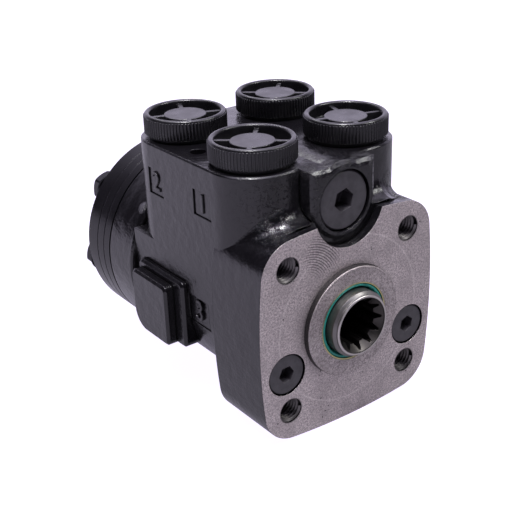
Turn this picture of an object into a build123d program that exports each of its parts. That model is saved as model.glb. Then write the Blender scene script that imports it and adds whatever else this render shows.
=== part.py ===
"""Orbital hydraulic steering unit with a square mounting flange, four top ports and a gerotor.

Millimetres. The origin is the centre of the flange's machined face, on the shaft axis. +X runs
along the flange, +Y along the shaft towards the gear set, +Z up towards the ports.
"""

import math
import os

from build123d import *

# Mounting flange and pilot
flange_half = 42.5        # half width at the middle of a side
flange_crown = 3.0        # how much less it would measure at a sharp corner
flange_corner = 14.0
flange_drop = 0.4         # the cast flange sits this much low of the shaft axis
flange_thick = 31.0
mount_pcd = 82.5
mount_hole_r = 5.0
mount_hole_depth = 17.0
pilot_r = 22.2
pilot_len = 2.5
pilot_edge = 0.4

# Port block and body
port_pitch_x = 44.4
port_pitch_y = 44.5
port_front_y = 28.3
port_face_z = 61.0
port_r = 10.48            # G 1/2 thread drawn at its pitch radius
port_depth = 17.0
block_corner = 18.0
block_foot_z = 20.0       # where the block's round rear corners end on the body's flat sides
top_edge_round = 1.0
tie_hole_r = 3.0          # small tapped hole between the ports of a pair
tie_hole_inset = 9.3      # its distance outside the port row
tie_hole_depth = 12.0
housing_len = 108.8
rear_flange_len = 19.3
rear_flange_edge = 1.5    # its front edge, rounded in two steps
gear_r = 43.0
joint_edge = 0.35         # broken edges where the round parts meet
pad_base = (50.5, 84.0, -20.0, 9.0)    # cast pads on the body's sides: y and z of the low base
pad_base_proud = 2.6
pad_tongue = (57.0, 83.0, -20.5, 6.0)  # and of the tongue standing on it
pad_proud = 6.8
pad_round = 2.5
pad_rear_round = 9.0      # the tongue's lower rear corner
blend_r = 7.0             # cast blend between the block's front and the flange top
mark_places = ((63.3, 73.5, 40.5, 51.2, 0.5), (30.6, 42.0, 41.0, 51.0, 0.5), (36.0, 50.0, -7.0, 5.0, 1.0))

# Relief valve in its boss above the pilot
relief_z = 47.2
relief_boss_r = 15.2
relief_boss_y = 3.0
relief_notch_gap = 1.2
relief_boss_round = 2.2
relief_plug_r = 11.5
relief_plug_head = 4.0
relief_plug_sink = 0.7
relief_thread_r = 8.5
relief_thread_len = 13.0
relief_hex = 8.0
relief_chamber_r = 6.5
relief_chamber_len = 24.0
relief_seat_r = 5.0
relief_seat_len = 8.0
relief_hole_r = 2.5

# Shock valves in the flange
shock_x = 30.5
shock_z = -13.0
shock_plug_r = 8.25
shock_plug_head = 4.5
shock_plug_sink = 0.5
shock_thread_r = 6.0
shock_thread_len = 7.0
shock_hex = 6.0
shock_ball_r = 3.2
shock_ball_y = 24.5
shock_seat_len = 5.0
shock_hole_r = 2.0

# Check valve under the front right port
check_bush_r = 6.0
check_bush_t = 6.0
check_ball_r = 4.2
check_chamber_r = 4.6
check_lift = 0.9

# Spool, sleeve and what drives them
spool_r = 14.0
neck_step = 0.8           # how much thinner the neck is than the spool
tip_step = 1.0
tip_len = 0.8
spool_front_y = -7.2
spool_len = 103.2
sleeve_wall = 4.45
bore_fit = 0.05           # radial running clearance of the ground bores
spline_teeth = 12
spline_minor_r = 8.75
spline_major_r = 10.7
spline_mouth_gap = 0.55
spline_mouth_len = 3.4
spline_len = 25.0
spool_bore_gap = 0.2      # the bore clears the spline's tooth spaces by this
pin_r = 3.0
pin_y = 44.0
pin_fit = 0.02
deflection = 10.0         # degrees that the spool turns in the sleeve, each way
spring_y = 24.0
spring_width = 8.0
spring_leaf = 0.6
spring_bow = 1.7
groove_depth = 1.1
groove_width = 5.0
groove_shift = 6.0        # ring grooves stand this far before and behind the port centres

# Shaft seal and needle bearing
seal_width = 2.6          # from the neck to the wall of the seal's pocket
seal_floor_y = 7.0
seal_case_wall = 0.5
seal_case_len = 4.4
race_t = 1.0
race_gap = 0.2            # radial, round the neck
needle_r = 1.0
needle_len = 3.4
needle_count = 16
cage_t = 1.4

# Gear set
plate_t = 5.4
ring_t = 5.6
cover_t = 8.8
lobe_pitch_r = 28.6
lobe_r = 6.4
orbit_e = 2.4
ring_lobes = 7
lobe_gap = 0.1            # clearance between star and ring all round
rotor_end_gap = 0.02
screw_inset = 7.3         # from the gear set's edge to the screw circle
screw_r = 4.0
screw_hole_gap = 0.35
screw_head_af = 13.0
screw_head_h = 5.3
screw_thread_len = 13.0
washer_r = 7.6
washer_t = 1.2
pin_screw_ext = 3.5
oring_inset = 6.4         # from the screw circle to the seal rings
oring_cord = 1.9
oring_groove_w = 2.4
feed_r = 1.8
feed_pcr = 23.6
cardan_shaft_r = 6.4
cardan_head_gap = 2.3     # between the cardan's head and the spool's bore
cardan_head_len = 20.0
cardan_gap = 0.3
spacer_t = 1.4

# Transport caps
cap_r = 16.5
cap_knurl_count = 80
cap_knurl_depth = 0.4
cap_knurl_h = 7.2
cap_rim_h = 0.8
cap_rim_w = 2.6
cap_disc_r = 8.35
cap_disc_drop = 1.5
cap_spoke_w = 2.0
cap_well_depth = 5.0
cap_shank_gap = 0.28      # radial, in the port's thread
cap_shank_len = 10.0
cap_shank_wall = 1.6
cap_turns = (47.0, 73.0, 67.0, 45.0)   # how far each cap happens to be turned, degrees
gasket_inset = 1.9        # from the cap's edge
gasket_t = 1.5
gasket_gap = 0.3

# Derived places
mount_half = mount_pcd / math.sqrt(2) / 2
port_x = port_pitch_x / 2
port_rear_y = port_front_y + port_pitch_y
port_ys = (port_front_y, port_rear_y)
check_top_z = port_face_z - port_depth
check_floor_z = check_top_z - check_bush_t - 2 * check_ball_r - check_lift - 2 * bore_fit
body_r = port_x + block_corner
block_front_y = port_front_y - block_corner
block_rear_y = port_rear_y + block_corner
relief_notch_r = relief_boss_r + relief_notch_gap
neck_r = spool_r - neck_step
tip_r = neck_r - tip_step
race_inner_r = neck_r + race_gap
seal_pocket_r = neck_r + seal_width
spline_mouth_r = spline_major_r + spline_mouth_gap
spool_bore_r = spline_major_r + spool_bore_gap
cardan_head_r = spool_bore_r - cardan_head_gap
screw_pcr = gear_r - screw_inset
oring_r = screw_pcr - oring_inset
cap_rim_r = cap_r - cap_rim_w
cap_shank_r = port_r - cap_shank_gap
gasket_r = cap_r - gasket_inset
sleeve_r = spool_r + bore_fit + sleeve_wall
bore_r = sleeve_r + bore_fit
race_front_y = seal_floor_y
bearing_y = race_front_y + race_t
race_rear_y = bearing_y + 2 * needle_r + 2 * bore_fit
sleeve_front_y = race_rear_y + race_t
plate_y = housing_len
ring_y = plate_y + plate_t
cover_y = ring_y + ring_t
rear_y = cover_y + cover_t
lobe_step = 360 / ring_lobes
screw_angle = 90.0
star_angle = screw_angle + lobe_step / 2
cardan_rear_y = ring_y + (ring_t - spacer_t) / 2
groove_ys = [y + s * groove_shift for y in port_ys for s in (-1, 1)]
feed_y = groove_ys[-1] + groove_shift + 3.8


# ---- Shared shapes -------------------------------------------------------------------------

def rod_y(radius, y0, y1, x=0.0, z=0.0):
    """Round bar along the shaft direction, from y0 to y1."""
    return Pos(x, (y0 + y1) / 2, z) * Rot(90, 0, 0) * Cylinder(radius, y1 - y0)


def rod_z(radius, z0, z1, x, y):
    """Upright round bar from z0 to z1."""
    return Pos(x, y, (z0 + z1) / 2) * Cylinder(radius, z1 - z0)


def drill(start, end, radius):
    """Straight drilling between two points."""
    start = Vector(*start)
    end = Vector(*end)
    way = Plane(origin=start, z_dir=end - start)
    return way * Cylinder(radius, (end - start).length, align=(Align.CENTER, Align.CENTER, Align.MIN))


def slab_y(outline, y0, y1):
    """Outline drawn in X and Z, given thickness from y0 to y1."""
    placed = Plane.XZ * Pos(0, 0, -y1) * outline
    return extrude(placed, amount=y1 - y0, dir=(0, -1, 0))


def turned(points):
    """Body turned about the shaft axis from a profile of (radius, y) points."""
    return revolve(make_face(Polyline(*points, close=True)), Axis.Y)


def ring_y_shape(inner, outer, y0, y1):
    return turned([(inner, y0), (outer, y0), (outer, y1), (inner, y1)])


def gear_disc(y0, y1, rear_edge):
    """Solid disc of the gear set's diameter with its edges broken."""
    return turned([(0, y0), (gear_r - joint_edge, y0), (gear_r, y0 + joint_edge),
                   (gear_r, y1 - rear_edge), (gear_r - rear_edge, y1), (0, y1)])


def around(shape, count, start=0.0):
    """Copies of a shape spaced evenly round the shaft; angles run from +X towards +Z."""
    return [Rot(0, -(start + k * 360 / count), 0) * shape for k in range(count)]


def hex_prism(across_flats, y0, y1, x, z, turn=0.0):
    outline = Rot(0, 0, turn) * RegularPolygon(across_flats / 2, 6, major_radius=False)
    return Pos(x, 0, z) * slab_y(outline, y0, y1)


def squeezed_ring(radius, half):
    """Rubber ring about the shaft direction, its cord pressed to eight flats by its groove."""
    cord = Pos(radius, 0) * Rot(0, 0, 22.5) * RegularPolygon(half, 8, major_radius=False)
    return revolve(cord, Axis.Y)


def helix_spring(radius, wire, y0, y1, coils, x, z):
    """Coil spring between two y values, made of stacked open turns."""
    pitch = (y1 - y0 - 2 * wire) / coils
    path = Helix(pitch, pitch * coils, radius)
    section = Plane(origin=path @ 0, z_dir=path % 0) * RegularPolygon(wire / 2, 6)
    coil = sweep(section, path)
    return Pos(x, y0 + wire, z) * Rot(-90, 0, 0) * coil


def spline_outline(minor, major, gap=0.0):
    """Internal spline outline: the bore and its tooth spaces. gap makes the matching shaft smaller."""
    wide = math.pi * minor / spline_teeth * 0.8 - gap
    narrow = wide * 0.25
    foot = minor - gap
    tip = major - gap
    space = make_face(Polyline((foot - 1, wide), (tip, narrow), (tip, -narrow), (foot - 1, -wide), close=True))
    outline = Circle(foot)
    for k in range(spline_teeth):
        outline += Rot(0, 0, k * 360 / spline_teeth) * space
    return outline


# ---- Housing -------------------------------------------------------------------------------

def crowned_square(half, crown, corner):
    """Square with slightly bowed sides and round corners."""
    c = half - crown
    corners = [(c, -c), (c, c), (-c, c), (-c, -c)]
    middles = [(half, 0), (0, half), (-half, 0), (0, -half)]
    sides = [ThreePointArc(corners[k], middles[k], corners[(k + 1) % 4]) for k in range(4)]
    face = make_face(sides)
    return fillet(face.vertices(), corner)


def flange():
    outline = Pos(0, -flange_drop) * crowned_square(flange_half, flange_crown, flange_corner)
    block = slab_y(outline, 0, flange_thick)
    return chamfer(block.faces().sort_by(Axis.Y)[-1].edges(), 1.2)


def port_block():
    outline = RectangleRounded(2 * body_r, block_rear_y - block_front_y, block_corner)
    block = Pos(0, (block_front_y + block_rear_y) / 2, block_foot_z)
    block = block * extrude(outline, amount=port_face_z - block_foot_z)
    return chamfer(block.faces().sort_by(Axis.Z)[-1].edges(), top_edge_round * 0.6)


def lower_body():
    round_part = rod_y(body_r, flange_thick / 2, housing_len - rear_flange_len)
    flat_part = Pos(0, 0, block_foot_z / 2) * slab_y(
        Rectangle(2 * body_r, block_foot_z), flange_thick / 2, housing_len - rear_flange_len)
    return round_part + flat_part


def rear_flange():
    front = housing_len - rear_flange_len
    step = rear_flange_edge * 0.3
    return turned([(0, front), (gear_r - rear_flange_edge, front), (gear_r - step, front + step),
                   (gear_r, front + rear_flange_edge), (gear_r, housing_len - joint_edge),
                   (gear_r - joint_edge, housing_len), (0, housing_len)])


def pad_outline(places, low_rear_round):
    """Upright outline with round corners, the lower rear one larger."""
    y0, y1, z0, z1 = places
    outline = Pos((y0 + y1) / 2, (z0 + z1) / 2) * Rectangle(y1 - y0, z1 - z0)
    low_rear = outline.vertices().sort_by(Axis.X)[2:].sort_by(Axis.Y)[0]
    outline = fillet(low_rear, low_rear_round)
    sharp = [v for v in outline.vertices() if v.X < y0 + 0.1 or v.Y > z1 - 0.1]
    return fillet(sharp, pad_round)


def pad_step(outline, side, proud):
    start = body_r * 0.6
    face = Plane.YZ * Pos(0, 0, side * start) * outline
    step = extrude(face, amount=body_r + proud - start, dir=(side, 0, 0))
    outer = step.faces().sort_by(Axis.X)[-1 if side > 0 else 0]
    return chamfer(outer.edges(), pad_round * 0.4)


def side_pad(side):
    base = pad_step(pad_outline(pad_base, pad_round), side, pad_base_proud)
    return base + pad_step(pad_outline(pad_tongue, pad_rear_round), side, pad_proud)


def relief_boss():
    tall = port_face_z - relief_z
    outline = Circle(relief_boss_r) + Pos(0, tall / 2) * Rectangle(2 * relief_boss_r, tall)
    boss = Pos(0, 0, relief_z) * slab_y(outline, relief_boss_y, port_front_y)
    boss = chamfer(boss.faces().sort_by(Axis.Y)[0].edges(), relief_boss_round * 0.7)
    return chamfer(boss.faces().sort_by(Axis.Y)[0].edges(), relief_boss_round * 0.5, relief_boss_round * 0.2)


def pilot():
    spigot = rod_y(pilot_r, -pilot_len, flange_thick)
    return chamfer(spigot.faces().sort_by(Axis.Y)[0].edges(), pilot_edge)


def mark_boxes():
    """Shallow boxes sunk in the left wall, where the foundry's figures stand."""
    boxes = []
    for y0, y1, z0, z1, depth in mark_places:
        middle = (-body_r, (y0 + y1) / 2, (z0 + z1) / 2)
        boxes.append(Pos(*middle) * Box(2 * depth, y1 - y0, z1 - z0))
    return boxes


def front_blend():
    """Cast blend that runs from the block's front down to the flange top."""
    top = flange_half - flange_drop
    wedge = Polyline((block_front_y - blend_r, top), (block_front_y, top + blend_r),
                     (block_front_y + 4, top), (block_front_y, top - 4), close=True)
    face = Plane.YZ * make_face(wedge)
    half = port_x + 1
    bar = Pos(-half, 0, 0) * extrude(face, amount=2 * half, dir=(1, 0, 0))
    hollow = Pos(0, block_front_y - blend_r, top + blend_r) * Rot(0, 90, 0) * Cylinder(blend_r, 4 * half)
    return bar - hollow


def ports():
    cuts = []
    for y in port_ys:
        for x in (-port_x, port_x):
            cuts.append(rod_z(port_r, port_face_z - port_depth, port_face_z + 1, x, y))
    for x in (-port_x - tie_hole_inset, port_x + tie_hole_inset):
        middle = (port_front_y + port_rear_y) / 2
        cuts.append(rod_z(tie_hole_r, port_face_z - tie_hole_depth, port_face_z + 1, x, middle))
    return cuts


def passages():
    """Drillings from each port to the main bore, each opposite a ring groove of the sleeve."""
    cuts = []
    for i, y in enumerate(port_ys):
        for side in (-1, 1):
            groove_y = groove_ys[2 * i + (0 if side < 0 else 1)]
            checked = side > 0 and i == 0
            start_z = check_floor_z + 0.5 if checked else port_face_z - port_depth + 0.5
            radius = 2.8 if checked else 5.0
            end = (side * bore_r * 0.55, groove_y, bore_r * 0.85)
            cuts.append(drill((side * port_x, y, start_z), end, radius))
    cuts.append(rod_z(check_bush_r, check_top_z - check_bush_t, check_top_z + 1, port_x, port_front_y))
    cuts.append(rod_z(check_chamber_r, check_floor_z, check_top_z, port_x, port_front_y))
    return cuts


def main_bore():
    cuts = [rod_y(bore_r, seal_floor_y, housing_len + 1)]
    cuts.append(rod_y(seal_pocket_r, -pilot_len - 1, seal_floor_y + 1))
    feed = drill((sleeve_r - 2, feed_y, 0), (feed_pcr, housing_len + 0.5, 0), feed_r)
    cuts.extend(around(feed, ring_lobes, star_angle))
    return cuts


def relief_bore():
    y1 = relief_boss_y + relief_plug_head + relief_plug_sink
    y2 = y1 + relief_thread_len + 2
    y3 = y2 + relief_chamber_len
    y4 = y3 + relief_seat_len
    cuts = [rod_y(relief_plug_r + 0.45, -1, y1, 0, relief_z)]
    cuts.append(rod_y(relief_thread_r, y1 - 1, y2, 0, relief_z))
    cuts.append(rod_y(relief_chamber_r, y2 - 1, y3, 0, relief_z))
    cuts.append(rod_y(relief_seat_r, y3 - 1, y4, 0, relief_z))
    cuts.append(rod_y(relief_hole_r, y4 - 1, y4 + 4, 0, relief_z))
    cuts.append(drill((0, y4 + 3, relief_z), (0, groove_ys[2], bore_r), relief_hole_r))
    cuts.append(drill((0, y2 + 4, relief_z), (0, groove_ys[1], bore_r), relief_hole_r))
    return cuts


def shock_bores():
    cuts = []
    y1 = shock_plug_sink + shock_plug_head
    y2 = shock_ball_y + shock_ball_r
    y3 = y2 + shock_seat_len
    for side in (-1, 1):
        x = side * shock_x
        cuts.append(rod_y(shock_plug_r + 0.25, -1, y1, x, shock_z))
        cuts.append(rod_y(shock_thread_r, y1 - 1, y3, x, shock_z))
        groove_y = groove_ys[0] if side < 0 else groove_ys[1]
        end = (side * bore_r * 0.93, groove_y, shock_z * 0.65)
        cuts.append(drill((x, y3 - shock_hole_r, shock_z), end, shock_hole_r))
    return cuts


def screw_bores():
    hole = rod_y(screw_r, housing_len - screw_thread_len - 1.5, housing_len + 1, screw_pcr)
    return around(hole, ring_lobes, screw_angle)


def mount_holes():
    cuts = []
    for sx in (-1, 1):
        for sz in (-1, 1):
            x = sx * mount_half
            z = sz * mount_half
            cuts.append(rod_y(mount_hole_r, -1, mount_hole_depth, x, z))
    return cuts


def oring_groove(y, depth):
    """Square groove behind a face at y; a negative depth cuts towards -Y."""
    inner = oring_r - oring_groove_w / 2
    outer = oring_r + oring_groove_w / 2
    return ring_y_shape(inner, outer, min(y, y + depth), max(y, y + depth))


def housing():
    body = flange() + port_block() + lower_body() + rear_flange() + front_blend()
    body = body + side_pad(-1) + side_pad(1)
    notch = rod_y(relief_notch_r, -1, relief_boss_y + 1, 0, relief_z - 0.6)
    body = body - notch + relief_boss() + pilot()
    cuts = ports() + passages() + main_bore() + relief_bore() + shock_bores()
    cuts = cuts + screw_bores() + mount_holes() + mark_boxes()
    for cut in cuts:
        body -= cut
    return body


# ---- Shaft seal and bearing ----------------------------------------------------------------

def dust_seal_case():
    """Thin steel cup whose flange faces inward at the back."""
    outer = seal_pocket_r - pin_fit
    inner = outer - seal_case_wall
    front = -pilot_len + 0.1
    back = front + seal_case_len
    lip = neck_r + 1.2
    return turned([(inner, front), (outer, front), (outer, back), (lip, back),
                   (lip, back - seal_case_wall), (inner, back - seal_case_wall)])


def shaft_seal_lip():
    """Rubber moulded into the cup, its front cone running down to the neck."""
    outer = seal_pocket_r - seal_case_wall - 2 * pin_fit
    touch = neck_r + 0.06
    front = -pilot_len + 0.2
    back = -pilot_len + 0.1 + seal_case_len - seal_case_wall - pin_fit
    return turned([(touch + 0.9, front + 0.1), (outer - 0.55, front), (outer - 0.2, front + 0.3),
                   (outer - 0.2, front + 1.0), (outer, front + 1.2), (outer, back), (touch + 1.6, back),
                   (touch + 0.9, front + 3.4), (touch, front + 3.0), (touch, front + 2.7)])


def bearing_race(y):
    return ring_y_shape(race_inner_r, bore_r - 0.3, y, y + race_t)


def needle_bearing():
    middle = bearing_y + bore_fit + needle_r
    inner = race_inner_r + 0.35
    outer = bore_r - 0.45
    cage = ring_y_shape(inner, outer, middle - cage_t / 2, middle + cage_t / 2)
    at = (inner + outer) / 2
    needle = Pos(at, middle, 0) * Rot(0, 90, 0) * Cylinder(needle_r, needle_len)
    window = Pos(at, middle, 0) * Box(needle_len + 0.1, 2 * cage_t, 2 * needle_r + 0.1)
    cage = cage - around(window, needle_count)
    return [cage] + around(needle, needle_count)


# ---- Spool, sleeve, pin, springs and cardan shaft ------------------------------------------

def spool():
    rear = spool_front_y + spool_len
    neck_end = sleeve_front_y + 0.2
    tip_end = spool_front_y + tip_len
    profile = [(0, spool_front_y), (tip_r - 0.3, spool_front_y), (tip_r, spool_front_y + 0.3),
               (tip_r, tip_end), (neck_r, tip_end + 1.0), (neck_r, neck_end),
               (spool_r, neck_end + 0.4), (spool_r, rear - 0.6), (spool_r - 0.6, rear), (0, rear)]
    body = turned(profile)
    body -= slab_y(spline_outline(spline_minor_r, spline_major_r), spool_front_y - 1,
                   spool_front_y + spline_len)
    mouth_end = spool_front_y + spline_mouth_len
    mouth = turned([(0, spool_front_y - 0.1), (spline_mouth_r, spool_front_y - 0.1),
                    (spline_mouth_r, spool_front_y + 0.5), (spline_minor_r, mouth_end), (0, mouth_end)])
    body -= mouth
    body -= rod_y(spool_bore_r, spool_front_y + spline_len, rear + 1)
    arc = spool_r * math.sin(math.radians(deflection))
    slot_z = 2 * (pin_r + arc + 0.4)
    body -= Pos(0, pin_y, 0) * Box(3 * spool_r, 2 * pin_r + 0.6, slot_z)
    body -= Pos(0, spring_y, 0) * Box(3 * spool_r, spring_width + 0.4, spring_slot())
    body -= [ring_y_shape(spool_r - 1.2, spool_r + 1, y - 2, y + 2) for y in groove_ys[2:]]
    slot_y = (groove_ys[1] + groove_ys[2]) / 2 + 3
    slot = Pos(spool_r, slot_y, 0) * Box(2.4, 9, 2.4)
    return body - around(slot, 6, 30)


def spring_slot():
    return 2 * (spring_leaf * 3 + spring_bow + 0.25)


def sleeve():
    rear = housing_len - 0.4
    body = ring_y_shape(spool_r + bore_fit, sleeve_r, sleeve_front_y, rear)
    half = groove_width / 2
    body -= [ring_y_shape(sleeve_r - groove_depth, sleeve_r + 1, y - half, y + half) for y in groove_ys]
    body -= Pos(0, pin_y, 0) * Rot(0, 90, 0) * Cylinder(pin_r + pin_fit, 3 * sleeve_r)
    body -= Pos(0, spring_y, 0) * Box(3 * sleeve_r, spring_width + 0.4, spring_slot())
    hole = drill((0, 0, 0), (sleeve_r + 1, 0, 0), 1.4)
    for y, count in ((groove_ys[2], 6), (groove_ys[3], 6), (feed_y + 1, 12)):
        body -= [Pos(0, y, 0) * h for h in around(hole, count, 15)]
    return body


def cross_pin():
    return Pos(0, pin_y, 0) * Rot(0, 90, 0) * Cylinder(pin_r, 2 * sleeve_r - 0.6)


def centering_springs():
    """Two flat leaves between two pairs of bowed ones, through the slots of spool and sleeve."""
    half = sleeve_r - 0.6
    leaves = []
    for side in (-1, 1):
        leaves.append(Pos(0, spring_y, side * spring_leaf * 0.52) * Box(2 * half, spring_width, spring_leaf))
        for layer in (1, 2):
            base = spring_leaf * (0.52 + 1.04 * layer)
            mid = (0, side * base)
            tip = (half, side * (base + spring_bow))
            other = (-half, side * (base + spring_bow))
            line = ThreePointArc(other, mid, tip)
            leaf = trace(line, spring_leaf * 0.94)
            leaves.append(slab_y(leaf, spring_y - spring_width / 2, spring_y + spring_width / 2))
    return leaves


def cardan_frame():
    """The cardan's own axis: through the cross pin and the centre of the orbiting star."""
    lean = math.degrees(math.atan2(orbit_e, cardan_rear_y - pin_y))
    return Rot(0, -star_angle, 0) * Pos(0, pin_y, 0) * Rot(0, 0, -lean)


def cardan_shaft():
    reach = (cardan_rear_y - pin_y) / math.cos(math.atan2(orbit_e, cardan_rear_y - pin_y))
    half = (ring_t - spacer_t) / 2 - cardan_gap
    head_end = reach + half
    tail = reach - half - 3.4
    front = -cardan_head_len / 2
    profile = [(0, front), (cardan_head_r - 1.5, front), (cardan_head_r, front + 2.5),
               (cardan_head_r, -front - 3.0), (cardan_shaft_r, -front), (cardan_shaft_r, tail - 3),
               (spline_minor_r - cardan_gap - 0.6, tail), (spline_minor_r - cardan_gap - 0.6, head_end),
               (0, head_end)]
    shaft = turned(profile)
    teeth = slab_y(spline_outline(spline_minor_r, spline_major_r, cardan_gap), tail, head_end)
    crown = turned([(0, tail), (spline_major_r - 1.6, tail), (spline_major_r, tail + 1.6),
                    (spline_major_r, head_end - 1.0), (spline_major_r - 1.0, head_end), (0, head_end)])
    shaft = shaft + (teeth & crown)
    slot_end = pin_r + cardan_gap
    fork = Box(3 * cardan_head_r, slot_end - front + 1, 2 * slot_end)
    fork = Rot(0, star_angle, 0) * Pos(0, (slot_end + front - 1) / 2, 0) * fork
    return cardan_frame() * (shaft - fork)


# ---- Gear set ------------------------------------------------------------------------------

def screw_holes(y0, y1):
    hole = rod_y(screw_r + screw_hole_gap, y0 - 1, y1 + 1, screw_pcr)
    return around(hole, ring_lobes, screw_angle)


def distributor_plate():
    plate = gear_disc(plate_y, ring_y, joint_edge)
    plate -= rod_y(spline_major_r + orbit_e + 0.4, plate_y - 1, ring_y + 1)
    plate -= around(rod_y(feed_r, plate_y - 1, ring_y + 1, feed_pcr), ring_lobes, star_angle)
    plate -= oring_groove(plate_y, oring_cord)
    plate -= oring_groove(ring_y, -oring_cord)
    return plate - screw_holes(plate_y, ring_y)


def gear_ring():
    """Ring with seven round inward lobes on the pitch circle, and valleys between them."""
    valley = lobe_pitch_r - lobe_r + 2 * orbit_e + 0.5
    outline = Circle(gear_r) - Circle(valley)
    lobe = Pos(lobe_pitch_r, 0) * Circle(lobe_r)
    for k in range(ring_lobes):
        outline += Rot(0, 0, star_angle + k * lobe_step) * lobe
    ring = slab_y(outline, ring_y, cover_y) & gear_disc(ring_y, cover_y, joint_edge)
    return ring - screw_holes(ring_y, cover_y)


def star_point(turn):
    """Point of the star's outline that rolls inside the ring's lobes (shortened epitrochoid)."""
    n = ring_lobes
    reach = lobe_r + lobe_gap
    lead = math.atan2(math.sin((1 - n) * turn), lobe_pitch_r / (orbit_e * n) - math.cos((1 - n) * turn))
    x = lobe_pitch_r * math.cos(turn) - reach * math.cos(turn + lead) - orbit_e * math.cos(n * turn)
    z = -lobe_pitch_r * math.sin(turn) + reach * math.sin(turn + lead) + orbit_e * math.sin(n * turn)
    return (x, z)


def gear_rotor():
    count = 12 * (ring_lobes - 1)
    points = [star_point(2 * math.pi * k / count) for k in range(count)]
    outline = make_face(Spline(*points, periodic=True))
    star = slab_y(outline, ring_y + rotor_end_gap, cover_y - rotor_end_gap)
    star -= slab_y(spline_outline(spline_minor_r, spline_major_r), ring_y - 1, cover_y + 1)
    star -= around(Pos(15.0, ring_y, 0) * Rot(90, 0, 0) * Cylinder(1.5, 3), 6, 0)
    return Rot(0, -star_angle, 0) * Pos(orbit_e, 0, 0) * star


def spacer():
    disc = rod_y(spline_minor_r - cardan_gap, cover_y - spacer_t, cover_y - 0.05)
    return Rot(0, -star_angle, 0) * Pos(orbit_e, 0, 0) * disc


def end_cover():
    cover = gear_disc(cover_y, rear_y, 0.6)
    cover -= oring_groove(cover_y, oring_cord)
    return cover - screw_holes(cover_y, rear_y)


def oring(face_y, side):
    """Cord ring lying in a groove on the given side of a joint face."""
    return Pos(0, face_y + side * oring_cord / 2, 0) * squeezed_ring(oring_r, oring_cord / 2 - pin_fit)


def cover_screw(extra=0.0):
    seat = rear_y + washer_t
    head = slab_y(RegularPolygon(screw_head_af / 2, 6, major_radius=False), seat, seat + screw_head_h)
    rounded = rod_y(screw_head_af / 2 + 0.75, seat, seat + screw_head_h)
    rounded = chamfer(rounded.faces().sort_by(Axis.Y)[-1].edges(), 0.8)
    shank = rod_y(screw_r - pin_fit, housing_len - screw_thread_len, seat + 1)
    screw = (head & rounded) + shank
    if extra:
        screw += rod_y(screw_r - 0.2, seat + screw_head_h - 0.5, seat + screw_head_h + extra)
    return Pos(screw_pcr, 0, 0) * screw


def screw_washer():
    return Pos(screw_pcr, 0, 0) * ring_y_shape(screw_r + 0.25, washer_r, rear_y, rear_y + washer_t)


# ---- Valves --------------------------------------------------------------------------------

def relief_stack():
    """Plug, seal ring, adjuster, spring, poppet and seat, front to back."""
    face = relief_boss_y + relief_plug_sink
    shoulder = face + relief_plug_head
    plug = rod_y(relief_plug_r, face, shoulder, 0, relief_z)
    plug = chamfer(plug.faces().sort_by(Axis.Y)[0].edges(), 0.6)
    plug += rod_y(relief_thread_r - pin_fit, shoulder - 1, shoulder + relief_thread_len * 0.55, 0, relief_z)
    plug -= hex_prism(relief_hex, face - 1, face + 6, 0, relief_z, 15)
    seal_y = shoulder - 1.6
    groove = ring_y_shape(relief_plug_r - 1.6, relief_plug_r + 1, seal_y - 1.0, seal_y + 0.6)
    plug -= Pos(0, 0, relief_z) * groove
    ring_centre = (0, seal_y - 0.2, relief_z)
    seal = Pos(*ring_centre) * squeezed_ring(relief_plug_r - 0.45, 0.75)

    adjust_y = shoulder + relief_thread_len * 0.55 + 0.3
    adjuster = rod_y(relief_thread_r - pin_fit, adjust_y, adjust_y + 6, 0, relief_z)
    adjuster -= hex_prism(relief_hex * 0.75, adjust_y - 1, adjust_y + 3.5, 0, relief_z)
    seat_y = shoulder + relief_thread_len + 2 + relief_chamber_len
    seat = rod_y(relief_seat_r - pin_fit, seat_y, seat_y + relief_seat_len - 0.1, 0, relief_z)
    seat -= rod_y(relief_hole_r, seat_y - 1, seat_y + relief_seat_len, 0, relief_z)
    bevel = turned([(0, seat_y - 0.1), (relief_hole_r + 1.4, seat_y - 0.1), (relief_hole_r, seat_y + 1.4),
                    (0, seat_y + 1.4)])
    seat -= Pos(0, 0, relief_z) * bevel
    guide_r = relief_chamber_r - bore_fit
    poppet = turned([(0, seat_y + 0.9), (relief_hole_r + 0.3, seat_y - 0.15), (guide_r, seat_y - 2.0),
                     (guide_r, seat_y - 8.0), (3.0, seat_y - 8.0), (3.0, seat_y - 11.0), (0, seat_y - 11.0)])
    poppet = Pos(0, 0, relief_z) * poppet
    spring = helix_spring(4.4, 1.3, adjust_y + 6, seat_y - 8.0, 6, 0, relief_z)
    return plug, seal, adjuster, spring, poppet, seat


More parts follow.
